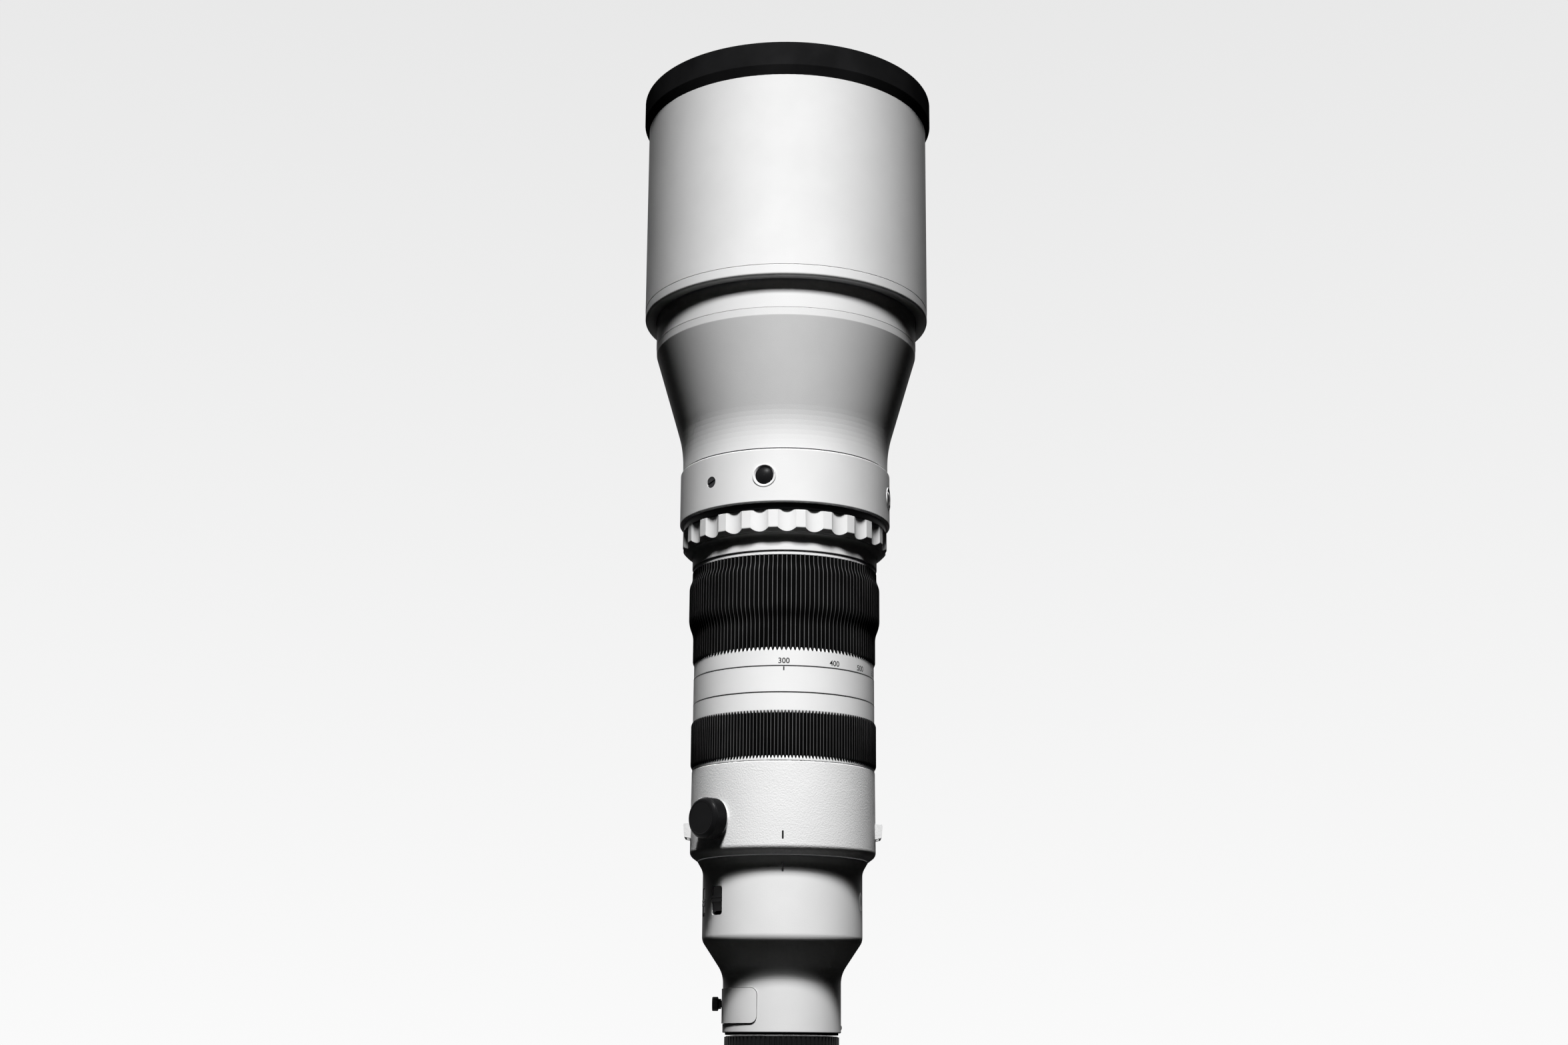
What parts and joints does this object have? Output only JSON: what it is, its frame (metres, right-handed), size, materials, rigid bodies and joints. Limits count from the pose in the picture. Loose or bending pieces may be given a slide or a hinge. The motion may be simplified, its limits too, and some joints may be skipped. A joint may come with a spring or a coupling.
{
  "type": "camera zoom lens",
  "caption": "Long white telephoto zoom lens with ribbed rings, tripod collar with foot, drop-in filter, deep hood with rubber rim, and rear cap.",
  "frame": {"origin": "centre of the camera mount's flange plane, on the optical axis", "axes": "+Z along the optical axis towards the front of the lens, -Y towards the side with the index marks, +Y towards the tripod foot"},
  "size_m": [0.188, 0.1975, 0.6181],
  "materials": {
    "white_paint": "cast light alloy under white paint with a fine satin texture",
    "wrinkle_paint": "cast light alloy under white paint with a coarse wrinkle texture",
    "rubber": "matt",
    "black_anodised": "satin black",
    "black_plastic": "matt",
    "bare_metal": "polished",
    "steel": "brushed",
    "grey_alloy": "satin",
    "brass": "plated",
    "optical_glass": "coated",
    "circuit": "satin",
    "felt": "flocked"
  },
  "bodies": {
    "barrel": {"mount_flange": "bare_metal", "mount_screws": "steel", "mount_gasket": "rubber", "index_bead": "white_paint", "rear_baffle": "black_plastic", "contact_pins": "brass", "rear_barrel": "white_paint", "control_bezels": "white_paint", "rear_cell": "black_anodised", "rear_element": "optical_glass", "circuit_board": "circuit", "main_tube": "grey_alloy", "index_band": "white_paint", "neck_sleeve": "white_paint", "button_housing": "white_paint", "trim_ring": "black_anodised", "button_bezels": "white_paint", "housing_screws": "steel", "front_barrel": "white_paint", "front_ring": "white_paint", "front_cell": "black_anodised", "front_element": "optical_glass", "second_element": "optical_glass", "guide_tube": "grey_alloy", "focus_rods": "steel", "iris_unit": "black_plastic"},
    "filter_drawer": {"filter_holder": "white_paint", "filter_glass": "optical_glass"},
    "filter_lock": {"filter_knob": "black_plastic"},
    "tripod_collar": {"collar": "wrinkle_paint", "foot": "wrinkle_paint", "foot_screws": "steel"},
    "collar_lock": {"collar_knob": "black_anodised"},
    "focus_control": {"focus_ring": "white_paint", "focus_grip": "rubber"},
    "zoom_control": {"zoom_ring": "white_paint", "zoom_grip": "rubber", "cam_tube": "grey_alloy"},
    "zoom_group": {"zoom_cell": "black_anodised", "zoom_lens": "optical_glass"},
    "focus_group": {"focus_cell": "black_anodised", "focus_lens": "optical_glass"},
    "stabiliser_x": {"stabiliser_frame": "grey_alloy"},
    "stabiliser_y": {"stabiliser_cell": "black_anodised", "stabiliser_lens": "optical_glass"},
    "function_control": {"function_ring": "white_paint"},
    "switch_focus": {"focus_switch": "black_plastic"},
    "switch_limit": {"limit_switch": "black_plastic"},
    "switch_steady": {"steady_switch": "black_plastic"},
    "button_set": {"set_button": "black_plastic"},
    "button_1": {"hold_button_1": "black_plastic"},
    "button_2": {"hold_button_2": "black_plastic"},
    "button_3": {"hold_button_3": "black_plastic"},
    "button_4": {"hold_button_4": "black_plastic"},
    "hood": {"hood_tube": "white_paint", "hood_base": "white_paint", "hood_rim": "rubber", "hood_lining": "felt"},
    "hood_lock": {"hood_knob": "black_anodised"},
    "cap": {"rear_cap": "black_plastic"}
  },
  "joints": [
    {"name": "filter_slide", "type": "slide", "parent": "barrel", "child": "filter_drawer", "axis": [-1, 0, 0], "range_m": [0, 0.07]},
    {"name": "filter_lock_turn", "type": "hinge", "parent": "filter_drawer", "child": "filter_lock", "pos_m": [-0.036, 0, 0.01845], "axis": [-1, 0, 0], "range_deg": [0, 90]},
    {"name": "collar_turn", "type": "hinge", "parent": "barrel", "child": "tripod_collar", "pos_m": [0, 0, 0.13075], "axis": [0, 0, 1], "continuous": true},
    {"name": "collar_lock_turn", "type": "hinge", "parent": "tripod_collar", "child": "collar_lock", "pos_m": [-0.04279, -0.04206, 0.1252], "axis": [-0.7133, -0.7009, 0], "range_deg": [-180, 0]},
    {"name": "focus_turn", "type": "hinge", "parent": "barrel", "child": "focus_control", "pos_m": [0, 0, 0.178], "axis": [0, 0, 1], "continuous": true},
    {"name": "zoom_turn", "type": "hinge", "parent": "barrel", "child": "zoom_control", "pos_m": [0, 0, 0.25], "axis": [0, 0, -1], "range_deg": [0, 77]},
    {"name": "zoom_group_slide", "type": "slide", "parent": "barrel", "child": "zoom_group", "axis": [0, 0, 1], "range_m": [0, 0.036]},
    {"name": "focus_group_slide", "type": "slide", "parent": "barrel", "child": "focus_group", "axis": [0, 0, 1], "range_m": [0, 0.045]},
    {"name": "stabiliser_x_shift", "type": "slide", "parent": "barrel", "child": "stabiliser_x", "axis": [1, 0, 0], "range_m": [-0.0015, 0.0015], "stiffness_N_per_m": 150},
    {"name": "stabiliser_y_shift", "type": "slide", "parent": "stabiliser_x", "child": "stabiliser_y", "axis": [0, 1, 0], "range_m": [-0.0015, 0.0015], "stiffness_N_per_m": 150},
    {"name": "function_turn", "type": "hinge", "parent": "barrel", "child": "function_control", "pos_m": [0, 0, 0.3026], "axis": [0, 0, 1], "range_deg": [-8, 8], "stiffness_Nm_per_rad": 0.5},
    {"name": "focus_switch_slide", "type": "slide", "parent": "barrel", "child": "switch_focus", "axis": [0, 0, -1], "range_m": [0, 0.0022]},
    {"name": "limit_switch_slide", "type": "slide", "parent": "barrel", "child": "switch_limit", "axis": [0, 0, -1], "range_m": [0, 0.0022]},
    {"name": "steady_switch_slide", "type": "slide", "parent": "barrel", "child": "switch_steady", "axis": [0, 0, -1], "range_m": [0, 0.0022]},
    {"name": "set_button_press", "type": "slide", "parent": "barrel", "child": "button_set", "axis": [-0.9774, 0.2113, 0], "range_m": [0, 0.0008], "stiffness_N_per_m": 300},
    {"name": "hold_button_1_press", "type": "slide", "parent": "barrel", "child": "button_1", "axis": [0.1908, 0.9816, 0], "range_m": [0, 0.0008], "stiffness_N_per_m": 300},
    {"name": "hold_button_2_press", "type": "slide", "parent": "barrel", "child": "button_2", "axis": [-0.9816, 0.1908, 0], "range_m": [0, 0.0008], "stiffness_N_per_m": 300},
    {"name": "hold_button_3_press", "type": "slide", "parent": "barrel", "child": "button_3", "axis": [-0.1908, -0.9816, 0], "range_m": [0, 0.0008], "stiffness_N_per_m": 300},
    {"name": "hold_button_4_press", "type": "slide", "parent": "barrel", "child": "button_4", "axis": [0.9816, -0.1908, 0], "range_m": [0, 0.0008], "stiffness_N_per_m": 300},
    {"name": "hood_slide", "type": "slide", "parent": "barrel", "child": "hood", "axis": [0, 0, 1], "range_m": [0, 0.03]},
    {"name": "hood_lock_turn", "type": "hinge", "parent": "hood", "child": "hood_lock", "pos_m": [0, 0.095, 0.4599], "axis": [0, 1, 0], "range_deg": [-180, 0]},
    {"name": "rear_cap_turn", "type": "hinge", "parent": "barrel", "child": "cap", "pos_m": [0, 0, -0.0084], "axis": [0, 0, -1], "range_deg": [0, 60]}
  ],
  "couplings": [
    {"joint": "zoom_group_slide", "follows": "zoom_turn", "m_per_rad": 0.026788}
  ]
}
